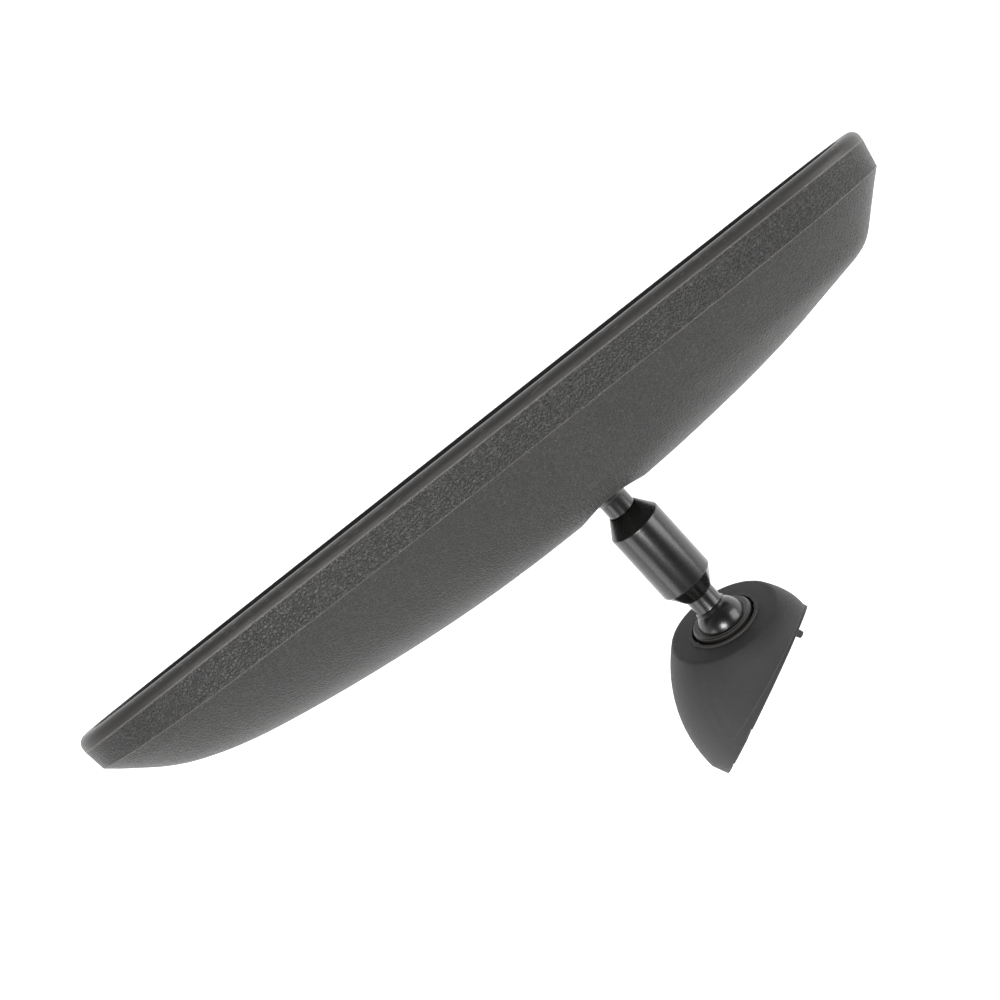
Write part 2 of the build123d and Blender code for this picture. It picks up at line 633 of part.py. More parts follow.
# ---- foot pieces, in the foot frame: X across, Y towards its upper end, Z off the glass --------
def foot_points(start, inset):
    """Half of the contact outline with the matching half of a unit circle."""
    reach = (FOOT_SHORT_END if start == 0.0 else FOOT_LONG_END) - inset
    width = FOOT_HALF_WIDTH - inset
    row = []
    for i in range(FOOT_OUTLINE_STEPS + 1):
        angle = start + pi * i / FOOT_OUTLINE_STEPS
        c = cos(angle)
        s = 0.0 if i in (0, FOOT_OUTLINE_STEPS) else sin(angle)
        x = (1 if c > 0 else -1) * width * abs(c) ** (2 / FOOT_POWER)
        y = (1 if s > 0 else -1) * reach * abs(s) ** (2 / FOOT_POWER)
        row.append((x, y, c, s))
    return row


def skirt_height(y):
    """Height of the straight skirt, which falls away towards the foot's upper end."""
    return SKIRT_TAIL - (y + FOOT_LONG_END) * tan(SKIRT_SLOPE)


def foot_section(share, inset):
    """Section of the cover from the top of its skirt (share 0) to its round face (share 1)."""
    centre = SOCKET_LEAN_LOCAL * (BALL_STANDOFF + FACE_RISE - inset)
    ring = FACE_RADIUS - inset
    lean = radians(SOCKET_LEAN)
    across = Vector(0, cos(lean), -sin(lean))
    turn = SKIRT_SLOPE + (lean - SKIRT_SLOPE) * share
    halfway = Vector(0, cos(turn), -sin(turn))
    edges = []
    for start in (0.0, pi):
        row = []
        for x, y, c, s in foot_points(start, inset):
            low = Vector(x, y, skirt_height(y))
            high = centre + Vector(1, 0, 0) * (ring * c) + across * (ring * s)
            wall = high - low
            outward = Vector(1, 0, 0) * c + halfway * s
            outward -= wall * (outward.dot(wall) / wall.dot(wall))
            bulge = 4 * COVER_BULGE * wall.length * share * (1 - share)
            row.append(low + wall * share + outward.normalized() * bulge)
        way = 1 if start == 0.0 else -1
        edges.append(Edge.make_spline(row, tangents=[halfway * way, halfway * -way]))
    return Wire(edges)


def above_glass(solid):
    """What is left of a solid above the contact plane."""
    reach = 2 * FOOT_LONG_END
    return solid - box_between((-reach, -reach, -reach), (reach, reach, 0))


def skirt_form(inset):
    """The straight skirt, from the glass up to the dome's first section."""
    prism = Solid.extrude(Face(foot_section(0, inset)), Vector(0, 0, -2 * SKIRT_TAIL))
    return above_glass(prism)


def cover_form(inset, rounding=0.0):
    """The cover's outer form, or with an inset the room inside it."""
    dome = Solid.make_loft(
        [foot_section(i / COVER_SECTIONS, inset) for i in range(COVER_SECTIONS + 1)]
    )
    if rounding:
        face = SOCKET_LEAN_LOCAL * (BALL_STANDOFF + FACE_RISE - inset)
        rim = [e for e in dome.edges() if abs((e.center() - face).dot(SOCKET_LEAN_LOCAL)) < 0.05]
        dome = dome.fillet(rounding, rim)
    return skirt_form(inset) + dome


def foot_cover():
    """Moulded cover: thin walls, an opening for the ball with a fine raised rim."""
    outer = cover_form(0, FACE_FILLET)
    face = SOCKET_LEAN_LOCAL * (BALL_STANDOFF + FACE_RISE)
    shell = outer - cover_form(COVER_WALL)
    rim_start = face - SOCKET_LEAN_LOCAL * COVER_WALL / 2
    rim_height = COVER_WALL / 2 + RIM_HEIGHT
    shell += rod(rim_start, SOCKET_LEAN_LOCAL, OPENING_RADIUS + RIM_WIDTH, rim_height)
    opening_start = face - SOCKET_LEAN_LOCAL * FACE_RADIUS
    shell -= rod(opening_start, SOCKET_LEAN_LOCAL, OPENING_RADIUS, 2 * FACE_RADIUS)
    for side in (-1, 1):
        inner = side * FOOT_HALF_WIDTH / 3
        outer_end = side * FOOT_HALF_WIDTH * 4 / 3
        for y in NOTCH_PLACES:
            shell -= box_between(
                (inner, y - NOTCH_LENGTH / 2, -NOTCH_DEPTH),
                (outer_end, y + NOTCH_LENGTH / 2, NOTCH_DEPTH),
            )
    return shell


def button_slot():
    """Slot for the glued button: open at the glass and at the tail, with sloping sides."""
    half = BUTTON_WIDTH / 2
    floor = BUTTON_DEPTH + CLIP_GAUGE
    corners = [
        (-half, -BUTTON_STOP, 0),
        (half, -BUTTON_STOP, 0),
        (half + BUTTON_UNDERCUT, -BUTTON_STOP, floor),
        (-half - BUTTON_UNDERCUT, -BUTTON_STOP, floor),
    ]
    return Solid.extrude(Face(Wire.make_polygon(corners)), Vector(0, -2 * FOOT_LONG_END, 0))


def set_screw():
    start = (0, -SET_SCREW_DROP, BUTTON_DEPTH)
    screw = rod(start, (0, 0, 1), SET_SCREW_RADIUS, SET_SCREW_LENGTH)
    hexagon = Face(Wire.make_polygon(
        [
            (
                HEX_RADIUS * cos(pi * i / 3),
                HEX_RADIUS * sin(pi * i / 3) - SET_SCREW_DROP,
                BUTTON_DEPTH + SET_SCREW_LENGTH - HEX_DEPTH,
            )
            for i in range(6)
        ]
    ))
    return screw - Solid.extrude(hexagon, Vector(0, 0, HEX_DEPTH + 1))


def button_clip():
    """Spring plate against the slot's floor, with a stop bent down at its upper end."""
    back = -BUTTON_STOP
    plate = box_between(
        (-CLIP_WIDTH / 2, back - CLIP_LENGTH, BUTTON_DEPTH),
        (CLIP_WIDTH / 2, back, BUTTON_DEPTH + CLIP_GAUGE),
    )
    stop = box_between(
        (-CLIP_WIDTH / 2, back - CLIP_GAUGE, CLIP_GAUGE),
        (CLIP_WIDTH / 2, back, BUTTON_DEPTH),
    )
    hole = rod((0, -SET_SCREW_DROP, 0), (0, 0, 1), SET_SCREW_RADIUS + FIT_GAP, FOOT_BLOCK_HEIGHT)
    return plate + stop - hole


def foot_body():
    """Die-cast foot: a block on the glass, grown into the barrel that holds the ball."""
    to_foot = FOOT.location.inverse()
    inset = COVER_WALL + FIT_GAP
    rise = Vector(0, 0, FOOT_BLOCK_HEIGHT - SKIRT_TAIL)
    block = skirt_form(inset) + Solid.extrude(Face(foot_section(0, inset)), rise)
    block += place(socket_barrel(BARREL_WALL), FOOT_SOCKET).moved(to_foot)
    block = block & cover_form(inset)
    block -= place(socket_bore(), FOOT_SOCKET).moved(to_foot)
    return block - button_slot() - rod(
        (0, -SET_SCREW_DROP, 0), (0, 0, 1), SET_SCREW_RADIUS, 2 * FOOT_BLOCK_HEIGHT
    )


# ---- all pieces -----------------------------------------------------------------------------
def main():
    os.makedirs("parts", exist_ok=True)

    for piece in (
        rear_housing,
        front_bezel,
        mirror_glass,
        glass_pad,
        tilt_rod,
        lever_pin,
        day_night_lever,
        socket_bracket,
        toggle_leaf,
        leaf_rivets,
    ):
        write_part(piece.__name__, piece().moved(HEAD))
    write_socket("head", HEAD_SOCKET, HEAD_SEAT_TILT)

    write_part("arm_sleeve", place(arm_sleeve(), ARM))
    write_part("foot_ball_stud", place(ball_stud(), ARM))
    head_end = Plane(origin=HEAD_BALL, x_dir=(1, 0, 0), z_dir=ARM_AXIS * -1)
    write_part("head_ball_stud", place(ball_stud(), head_end))

    for piece in (foot_cover, foot_body, button_clip, set_screw):
        write_part(piece.__name__, place(piece(), FOOT))
    write_socket("foot", FOOT_SOCKET, FOOT_SEAT_TILT)


if __name__ == "__main__":
    main()
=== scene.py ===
"""Looks of an interior rearview mirror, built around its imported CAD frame."""

import json
import logging
import math
from dataclasses import dataclass, field
from enum import Enum

import bmesh
import bpy
from mathutils import Matrix, Vector


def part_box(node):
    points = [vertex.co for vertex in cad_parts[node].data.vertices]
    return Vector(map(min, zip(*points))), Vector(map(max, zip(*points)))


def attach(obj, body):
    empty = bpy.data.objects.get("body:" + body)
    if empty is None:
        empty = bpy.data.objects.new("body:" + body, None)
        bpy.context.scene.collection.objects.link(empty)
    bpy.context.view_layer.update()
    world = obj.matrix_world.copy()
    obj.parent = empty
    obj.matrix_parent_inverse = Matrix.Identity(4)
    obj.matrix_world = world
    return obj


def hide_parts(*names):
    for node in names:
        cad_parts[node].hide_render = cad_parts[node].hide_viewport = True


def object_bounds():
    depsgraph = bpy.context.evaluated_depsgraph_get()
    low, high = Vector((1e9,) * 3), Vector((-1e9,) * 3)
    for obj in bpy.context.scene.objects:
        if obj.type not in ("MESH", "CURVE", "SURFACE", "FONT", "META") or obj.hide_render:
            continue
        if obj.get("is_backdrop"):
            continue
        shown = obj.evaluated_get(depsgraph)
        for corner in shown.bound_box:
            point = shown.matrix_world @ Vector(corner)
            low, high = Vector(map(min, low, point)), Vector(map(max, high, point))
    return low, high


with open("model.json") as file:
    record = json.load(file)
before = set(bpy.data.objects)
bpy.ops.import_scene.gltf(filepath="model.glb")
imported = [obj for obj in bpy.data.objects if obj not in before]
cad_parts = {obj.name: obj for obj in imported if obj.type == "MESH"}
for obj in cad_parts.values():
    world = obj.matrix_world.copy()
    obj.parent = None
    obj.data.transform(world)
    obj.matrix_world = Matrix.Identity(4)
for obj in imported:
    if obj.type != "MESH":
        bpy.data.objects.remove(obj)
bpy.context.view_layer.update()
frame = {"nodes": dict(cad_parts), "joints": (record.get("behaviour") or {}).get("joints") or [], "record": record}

LOG = logging.getLogger("mirror")
MM = 0.001
WELD_GAP = 0.001 * MM  # joins the corners that the CAD triangles share
CAD_CREASE = 16.0  # degrees: a CAD edge that turns by more stays sharp
TURNED_CREASE = 50.0  # the same for turned pieces, whose creases are rounded in the mesh
UP = Vector((0, 0, 1))


# ---- shared helpers ---------------------------------------------------------------------


def linear(colour: str) -> tuple[float, float, float, float]:
    """Turn an sRGB hex colour into the linear RGBA that shaders take.

    Args:
        colour: Six hex digits after a hash sign.

    Returns:
        Linear red, green, blue and an alpha of one.
    """
    parts = []
    for start in (1, 3, 5):
        value = int(colour[start : start + 2], 16) / 255
        parts.append(value / 12.92 if value <= 0.04045 else ((value + 0.055) / 1.055) ** 2.4)
    return (parts[0], parts[1], parts[2], 1.0)


def per_metre(size_mm: float) -> float:
    """Pattern scale that repeats once in a size given in millimetres."""
    return 1.0 / (size_mm * MM)


def add_node(
    owner: bpy.types.Material | bpy.types.World,
    kind: str,
    inputs: dict | None = None,
    **settings: object,
) -> bpy.types.Node:
    """Add a shader node with its settings and links.

    Args:
        owner: The material or world whose tree gets the node.
        kind: The node's type name.
        inputs: Input name or index to a value, or to an output socket to link.
        settings: Properties of the node itself.

    Returns:
        The new node.
    """
    tree = owner.node_tree
    node = tree.nodes.new(kind)
    for name, value in settings.items():
        setattr(node, name, value)
    for key, value in (inputs or {}).items():
        socket = node.inputs[key]
        if isinstance(value, bpy.types.NodeSocket):
            tree.links.new(value, socket)
        else:
            socket.default_value = value
    return node


def new_material(name: str) -> tuple[bpy.types.Material, bpy.types.Node]:
    """Make an empty node material with a principled shader.

    Args:
        name: The material's name.

    Returns:
        The material and its principled shader node.
    """
    material = bpy.data.materials.new(name)
    material.use_nodes = True
    shader = material.node_tree.nodes["Principled BSDF"]
    return material, shader


def spread_roughness(
    material: bpy.types.Material, pattern: bpy.types.NodeSocket, low: float, high: float
) -> bpy.types.NodeSocket:
    """Let a pattern vary the roughness between two values.

    Args:
        material: The material whose tree gets the node.
        pattern: Output socket from zero to one.
        low: Roughness where the pattern is zero.
        high: Roughness where the pattern is one.

    Returns:
        The output socket that carries the roughness.
    """
    spread = add_node(
        material, "ShaderNodeMapRange", {"Value": pattern, "To Min": low, "To Max": high}
    )
    return spread.outputs["Result"]


def finish_mesh(name: str, shape: bmesh.types.BMesh, smooth_below: float = 30.0) -> bpy.types.Object:
    """Turn a bmesh into a linked object with smooth faces and sharp creases.

    Args:
        name: The object's name.
        shape: The finished bmesh, which is freed.
        smooth_below: Edges that turn by more than this many degrees stay sharp.

    Returns:
        The new object, at the origin.
    """
    bmesh.ops.recalc_face_normals(shape, faces=shape.faces)
    for face in shape.faces:
        face.smooth = True
    limit = math.radians(smooth_below)
    for edge in shape.edges:
        edge.smooth = len(edge.link_faces) == 2 and edge.calc_face_angle(0.0) < limit
    mesh = bpy.data.meshes.new(name)
    shape.to_mesh(mesh)
    shape.free()
    piece = bpy.data.objects.new(name, mesh)
    bpy.context.scene.collection.objects.link(piece)
    return piece


def turn_profile(
    points: list[tuple[float, float]], origin: Vector, axis: Vector, steps: int = 96
) -> bmesh.types.BMesh:
    """Spin a closed profile into a turned solid along an axis.

    Args:
        points: (radius, distance along the axis) pairs in metres, first and last on the axis.
        origin: Where distance zero lies.
        axis: Direction of the axis.
        steps: Segments round the axis.

    Returns:
        The turned shape.
    """
    shape = bmesh.new()
    verts = [shape.verts.new((radius, 0.0, along)) for radius, along in points]
    edges = [shape.edges.new(pair) for pair in zip(verts, verts[1:])]
    bmesh.ops.spin(
        shape,
        geom=verts + edges,
        cent=(0, 0, 0),
        axis=(0, 0, 1),
        angle=2 * math.pi,
        steps=steps,
        use_merge=True,
        use_duplicate=False,
    )
    bmesh.ops.remove_doubles(shape, verts=shape.verts, dist=1e-7)
    turn = UP.rotation_difference(axis).to_matrix().to_4x4()
    bmesh.ops.transform(shape, matrix=Matrix.Translation(origin) @ turn, verts=shape.verts)
    return shape


def arc(
    centre: tuple[float, float], radius: float, start: float, end: float, steps: int
) -> list[tuple[float, float]]:
    """Work out the points of an arc in a turned profile.

    Args:
        centre: Radius and distance along the axis of the arc's centre.
        radius: The arc's radius.
        start: First angle in degrees, from the radial direction.
        end: Last angle in degrees.
        steps: Chords in the arc.

    Returns:
        The arc's points, both ends included.
    """
    points = []
    for i in range(steps + 1):
        angle = math.radians(start + (end - start) * i / steps)
        points.append((centre[0] + radius * math.cos(angle), centre[1] + radius * math.sin(angle)))
    return points


def dress(node: str, material: bpy.types.Material) -> None:
    """Give a CAD node its finish and smooth shading with sharp creases.

    Args:
        node: The CAD node's name.
        material: The finish.
    """
    piece = frame["nodes"][node]
    piece.data.materials.clear()
    piece.data.materials.append(material)
    for polygon in piece.data.polygons:
        polygon.use_smooth = True
    weld = piece.modifiers.new("weld", "WELD")
    weld.merge_threshold = WELD_GAP
    split = piece.modifiers.new("creases", "EDGE_SPLIT")
    split.split_angle = math.radians(CAD_CREASE)
    LOG.info("dressed %s in %s", node, material.name)


# ---- finishes ----------------------------------------------------------------------------


class Grain(Enum):
    """Mould textures, as the size of one grain and the height of its bump in millimetres.

    A real leather grain is 0.5 to 1 mm across and about 0.05 mm deep. Its depth is drawn
    about three times that, because at this size a true depth would not show.
    """

    LEATHER = (0.95, 0.17)
    SATIN = (0.55, 0.012)
    FINE = (0.45, 0.035)


@dataclass(frozen=True)
class MouldedPlastic:
    """Injection-moulded ABS or nylon with the texture of its steel mould.

    The grain breaks the reflection into a soft sheen, faint mottling keeps wide faces from
    looking flat, and the edges are painted a little lighter as a highlight.
    """

    name: str
    colour: str
    dark_colour: str
    grain: Grain
    roughness: float
    specular: float = 0.5
    edge_mm: float = 0.35  # width of the painted highlight line along an edge
    # lighter colour painted along the edges as a highlight
    edge_highlight_colour: str = "#4b4947"
    wander: float = 0.9  # how far a grain's outline strays, in grains
    wander_size: float = 1.6  # length over which it strays, in grains
    flank: float = 0.28  # share of a grain over which it slopes to its valley
    tooth_size: float = 0.3  # fine tooth on the grain, in grains
    tooth_share: float = 0.35  # height of the tooth beside that of the grain
    mottle_mm: float = 22.0
    sheen_spread: float = 0.06
    flat_agree: float = 0.9995  # rounded and true normals agree by this much off an edge
    edge_agree: float = 0.988  # and by this much on one

    def make(self) -> bpy.types.Material:
        """Build the plastic from its mould grain, its mottled colour and its painted edge highlights.

        Returns:
            The finished material.
        """
        material, shader = new_material(self.name)
        place = add_node(material, "ShaderNodeTexCoord").outputs["Object"]
        size, depth = self.grain.value
        pebbles = self.pebbles(material, place, size)
        tooth = add_node(
            material,
            "ShaderNodeTexNoise",
            {
                "Vector": place,
                "Scale": per_metre(size * self.tooth_size),
                "Detail": 3.0,
                "Roughness": 0.6,
            },
        )
        height = add_node(
            material,
            "ShaderNodeMath",
            {0: tooth.outputs["Fac"], 1: self.tooth_share, 2: pebbles},
            operation="MULTIPLY_ADD",
        )
        bump = add_node(
            material,
            "ShaderNodeBump",
            {"Height": height.outputs[0], "Strength": 1.0, "Distance": depth * MM},
        )
        rough = spread_roughness(
            material,
            tooth.outputs["Fac"],
            self.roughness - self.sheen_spread,
            self.roughness + self.sheen_spread,
        )
        links = material.node_tree.links
        links.new(self.tone(material, place), shader.inputs["Base Color"])
        links.new(rough, shader.inputs["Roughness"])
        links.new(bump.outputs["Normal"], shader.inputs["Normal"])
        shader.inputs["IOR"].default_value = 1.5
        shader.inputs["Specular IOR Level"].default_value = self.specular
        return material

    def pebbles(
        self, material: bpy.types.Material, place: bpy.types.NodeSocket, size: float
    ) -> bpy.types.NodeSocket:
        """Draw rounded grains with narrow, wandering valleys between them.

        Args:
            material: The material whose tree gets the nodes.
            place: Object coordinates.
            size: One grain in millimetres.

        Returns:
            A height that is one on a grain and zero in a valley.
        """
        warp = add_node(
            material,
            "ShaderNodeTexNoise",
            {"Vector": place, "Scale": per_metre(size * self.wander_size), "Detail": 2.0},
        )
        bent = add_node(
            material,
            "ShaderNodeVectorMath",
            {0: warp.outputs["Color"], 1: (size * MM * self.wander,) * 3},
            operation="MULTIPLY",
        )
        moved = add_node(
            material, "ShaderNodeVectorMath", {0: place, 1: bent.outputs[0]}, operation="ADD"
        )
        cells = add_node(
            material,
            "ShaderNodeTexVoronoi",
            {"Vector": moved.outputs[0], "Scale": per_metre(size), "Randomness": 1.0},
            feature="DISTANCE_TO_EDGE",
        )
        rounded = add_node(
            material,
            "ShaderNodeMapRange",
            {"Value": cells.outputs["Distance"], "From Min": 0.0, "From Max": self.flank},
            interpolation_type="SMOOTHSTEP",
        )
        return rounded.outputs["Result"]

    def tone(
        self, material: bpy.types.Material, place: bpy.types.NodeSocket
    ) -> bpy.types.NodeSocket:
        """Mottle the pigment between two tones and paint a lighter highlight along the edges.

        Args:
            material: The material whose tree gets the nodes.
            place: Object coordinates.

        Returns:
            The colour's output socket.
        """
        mottle = add_node(
            material,
            "ShaderNodeTexNoise",
            {
                "Vector": place,
                "Scale": per_metre(self.mottle_mm),
                "Detail": 4.0,
                "Roughness": 0.55,
            },
        )
        pigment = add_node(
            material,
            "ShaderNodeMix",
            {
                "Factor": mottle.outputs["Fac"],
                "A": linear(self.dark_colour),
                "B": linear(self.colour),
            },
            data_type="RGBA",
        )
        # painted highlight: the pigment turns lighter along the edges
        highlit = add_node(
            material,
            "ShaderNodeMix",
            {
                "Factor": self.edge_highlight(material),
                "A": pigment.outputs["Result"],
                "B": linear(self.edge_highlight_colour),
            },
            data_type="RGBA",
        )
        return highlit.outputs["Result"]

    def edge_highlight(self, material: bpy.types.Material) -> bpy.types.NodeSocket:
        """Find the moulded edges, where a lighter colour is painted on as a highlight.

        Args:
            material: The material whose tree gets the nodes.

        Returns:
            A factor that is one on an edge and falls to zero beside it.
        """
        rounded = add_node(material, "ShaderNodeBevel", {"Radius": self.edge_mm * MM}, samples=6)
        flat = add_node(material, "ShaderNodeNewGeometry")
        agree = add_node(
            material,
            "ShaderNodeVectorMath",
            {0: rounded.outputs["Normal"], 1: flat.outputs["Normal"]},
            operation="DOT_PRODUCT",
        )
        factor = add_node(
            material,
            "ShaderNodeMapRange",
            {
                "Value": agree.outputs["Value"],
                "From Min": self.flat_agree,
                "From Max": self.edge_agree,
            },
        )
        return factor.outputs["Result"]


@dataclass(frozen=True)
class GlossEnamel:
    """Stoved black enamel over turned steel.

    It looks almost black and wet: long bright reflections along the sleeve, broken only a
    little by the ripple that stoving leaves.
    """

    name: str = "stoved_black_enamel"
    colour: str = "#0d0c0b"
    roughness: float = 0.26
    ripple_mm: float = 3.0
    ripple_depth_mm: float = 0.02
    coat: float = 0.12
    coat_roughness: float = 0.1

    def make(self) -> bpy.types.Material:
        """Build the enamel: near-black, clear reflections, slight orange peel.

        Returns:
            The finished material.
        """
        material, shader = new_material(self.name)
        place = add_node(material, "ShaderNodeTexCoord").outputs["Object"]
        peel = add_node(
            material,
            "ShaderNodeTexNoise",
            {"Vector": place, "Scale": per_metre(self.ripple_mm), "Detail": 2.0},
        )
        bump = add_node(
            material,
            "ShaderNodeBump",
            {
                "Height": peel.outputs["Fac"],
                "Strength": 0.6,
                "Distance": self.ripple_depth_mm * MM,
            },
        )
        rough = spread_roughness(
            material, peel.outputs["Fac"], self.roughness - 0.03, self.roughness + 0.05
        )
        links = material.node_tree.links
        links.new(bump.outputs["Normal"], shader.inputs["Normal"])
        links.new(rough, shader.inputs["Roughness"])
        shader.inputs["Base Color"].default_value = linear(self.colour)
        shader.inputs["Specular IOR Level"].default_value = 0.6
        shader.inputs["Coat Weight"].default_value = self.coat
        shader.inputs["Coat Roughness"].default_value = self.coat_roughness
        return material


@dataclass(frozen=True)
class BareMetal:
    """Plated, hardened or cast metal, whose tool or casting marks blur its reflections."""

    name: str
    colour: str
    roughness: float
    mark_mm: float
    mark_depth_mm: float

    def make(self) -> bpy.types.Material:
        """Build the metal: full metallic, marks in the bump and the roughness.

        Returns:
            The finished material.
        """
        material, shader = new_material(self.name)
        place = add_node(material, "ShaderNodeTexCoord").outputs["Object"]
        marks = add_node(
            material,
            "ShaderNodeTexNoise",
            {"Vector": place, "Scale": per_metre(self.mark_mm), "Detail": 5.0},
        )
        bump = add_node(
            material,
            "ShaderNodeBump",
            {"Height": marks.outputs["Fac"], "Distance": self.mark_depth_mm * MM},
        )
        rough = spread_roughness(
            material, marks.outputs["Fac"], self.roughness - 0.08, self.roughness + 0.1
        )
        links = material.node_tree.links
        links.new(bump.outputs["Normal"], shader.inputs["Normal"])
        links.new(rough, shader.inputs["Roughness"])
        shader.inputs["Base Color"].default_value = linear(self.colour)
        shader.inputs["Metallic"].default_value = 1.0
        return material


@dataclass(frozen=True)
class SilveredGlass:
    """Float glass ground to a prism and silvered on its back.

    It gives a sharp, slightly cool mirror image with a faint haze of handling.
    """

    name: str = "silvered_prism_glass"
    colour: str = "#dfe6e6"
    haze_mm: float = 40.0

    def make(self) -> bpy.types.Material:
        """Build the mirror: bright metal under a clear coat, with faint haze.

        Returns:
            The finished material.
        """
        material, shader = new_material(self.name)
        place = add_node(material, "ShaderNodeTexCoord").outputs["Object"]
        haze = add_node(
            material,
            "ShaderNodeTexNoise",
            {"Vector": place, "Scale": per_metre(self.haze_mm), "Detail": 3.0},
        )
        rough = spread_roughness(material, haze.outputs["Fac"], 0.01, 0.05)
        material.node_tree.links.new(rough, shader.inputs["Roughness"])
        shader.inputs["Base Color"].default_value = linear(self.colour)
        shader.inputs["Metallic"].default_value = 1.0
        shader.inputs["Coat Weight"].default_value = 1.0
        shader.inputs["Coat Roughness"].default_value = 0.01
        return material


# Housing: ABS from a leather-grained mould. Pebbly and dark, with a soft grey sheen.
HOUSING_ABS = MouldedPlastic(
    name="leather_grained_abs",
    colour="#302f2e",
    dark_colour="#272625",
    grain=Grain.LEATHER,
    roughness=0.46,
    edge_mm=0.45,
    # painted highlight colour along the housing's edges and ridge
    edge_highlight_colour="#605d5a",
)
# Bezel: ABS from a satin-polished mould. Smoother, with a clear highlight on its nose.
BEZEL_ABS = MouldedPlastic(
    name="satin_moulded_abs",
    colour="#343231",
    dark_colour="#2c2b2a",
    grain=Grain.SATIN,
    roughness=0.44,
    edge_mm=0.3,
    # painted highlight colour along the bezel's edges
    edge_highlight_colour="#5a5755",
)
# Seam: a thin ABS strip where the two mouldings meet, coloured lighter as a painted highlight along the seam.
SEAM_HIGHLIGHT_ABS = MouldedPlastic(
    name="seam_highlight_abs",
    # painted highlight: far lighter than the housing's own plastic
    colour="#6b6966",
    dark_colour="#53514f",
    grain=Grain.SATIN,
    roughness=0.5,
)
# Foot cover: ABS from a spark-eroded mould. Evenly matt, with hardly any highlight.
COVER_ABS = MouldedPlastic(
    name="fine_textured_abs",
    colour="#2c2b2b",
    dark_colour="#252424",
    grain=Grain.FINE,
    roughness=0.62,
    specular=0.4,
)
# Pad behind the glass: closed-cell foam. Dull black that returns almost no light.
PAD_FOAM = MouldedPlastic(
    name="black_foam",
    colour="#1c1c1c",
    dark_colour="#141414",
    grain=Grain.FINE,
    roughness=0.9,
    specular=0.1,
)
# Lever, liners and seats: moulded nylon. Black with a slightly waxy shine.
BLACK_NYLON = MouldedPlastic(
    name="black_nylon",
    colour="#191817",
    dark_colour="#141312",
    grain=Grain.SATIN,
    roughness=0.4,
)
# Pins, rings, rivets and screw: bright zinc plate over steel. Light grey and fairly shiny.
ZINC_PLATE = BareMetal("zinc_plated_steel", "#b9bbbe", 0.3, 0.5, 0.004)
# Springs and clip: hardened strip. Darker, bluish grey with a brushed shine.
SPRING_STEEL = BareMetal("hardened_spring_steel", "#6f7175", 0.35, 0.6, 0.004)
# Foot body, bracket and cups: pressure die casting. Dull silver with a pebbled skin.
CAST_ZINC = BareMetal("die_cast_zinc", "#9b9d9f", 0.5, 0.9, 0.02)


# ---- sub-assemblies ------------------------------------------------------------------------


@dataclass
class MirrorHead:
    """Grained housing, smooth bezel, glass and the day/night mechanism."""

    seam_width: float = 0.1 * MM

    def build(self, finishes: dict[str, bpy.types.Material]) -> None:
        """Dress the head's nodes and add the lighter painted highlight line along the seam.

        Args:
            finishes: Shared finishes by name.
        """
        dress("rear_housing", HOUSING_ABS.make())
        dress("front_bezel", BEZEL_ABS.make())
        dress("mirror_glass", SilveredGlass().make())
        dress("glass_pad", finishes["foam"])
        dress("day_night_lever", finishes["nylon"])
        for node in ("tilt_rod", "lever_pin", "leaf_rivets", "head_retaining_ring"):
            dress(node, finishes["plated"])
        for node in ("toggle_leaf", "head_disc_springs"):
            dress(node, finishes["spring"])
        for node in ("socket_bracket", "head_spring_cup"):
            dress(node, finishes["zinc"])
        for node in ("head_liner", "head_ball_seat"):
            dress(node, finishes["nylon"])
        self.add_seam_line()

    def add_seam_line(self) -> None:
        """Fill the seam between bezel and housing with a fine strip whose lighter colour is a painted highlight.
        """
        low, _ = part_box("rear_housing")
        shape = bmesh.new()
        shape.from_mesh(frame["nodes"]["rear_housing"].data)
        bmesh.ops.remove_doubles(shape, verts=shape.verts, dist=WELD_GAP)
        bmesh.ops.bisect_plane(
            shape,
            geom=shape.verts[:] + shape.edges[:] + shape.faces[:],
            plane_co=(0, low.y + self.seam_width, 0),
            plane_no=(0, 1, 0),
            clear_outer=True,
        )
        rim = [edge for edge in shape.edges if edge.is_boundary]
        bmesh.ops.holes_fill(shape, edges=rim)
        bmesh.ops.translate(shape, verts=shape.verts, vec=(0, -self.seam_width, 0))
        line = finish_mesh("seam_line", shape)
        # painted highlight: the seam strip is coloured lighter than the housing
        line.data.materials.append(SEAM_HIGHLIGHT_ABS.make())
        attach(line, "head")
        LOG.info("seam_line follows the housing's front edge")


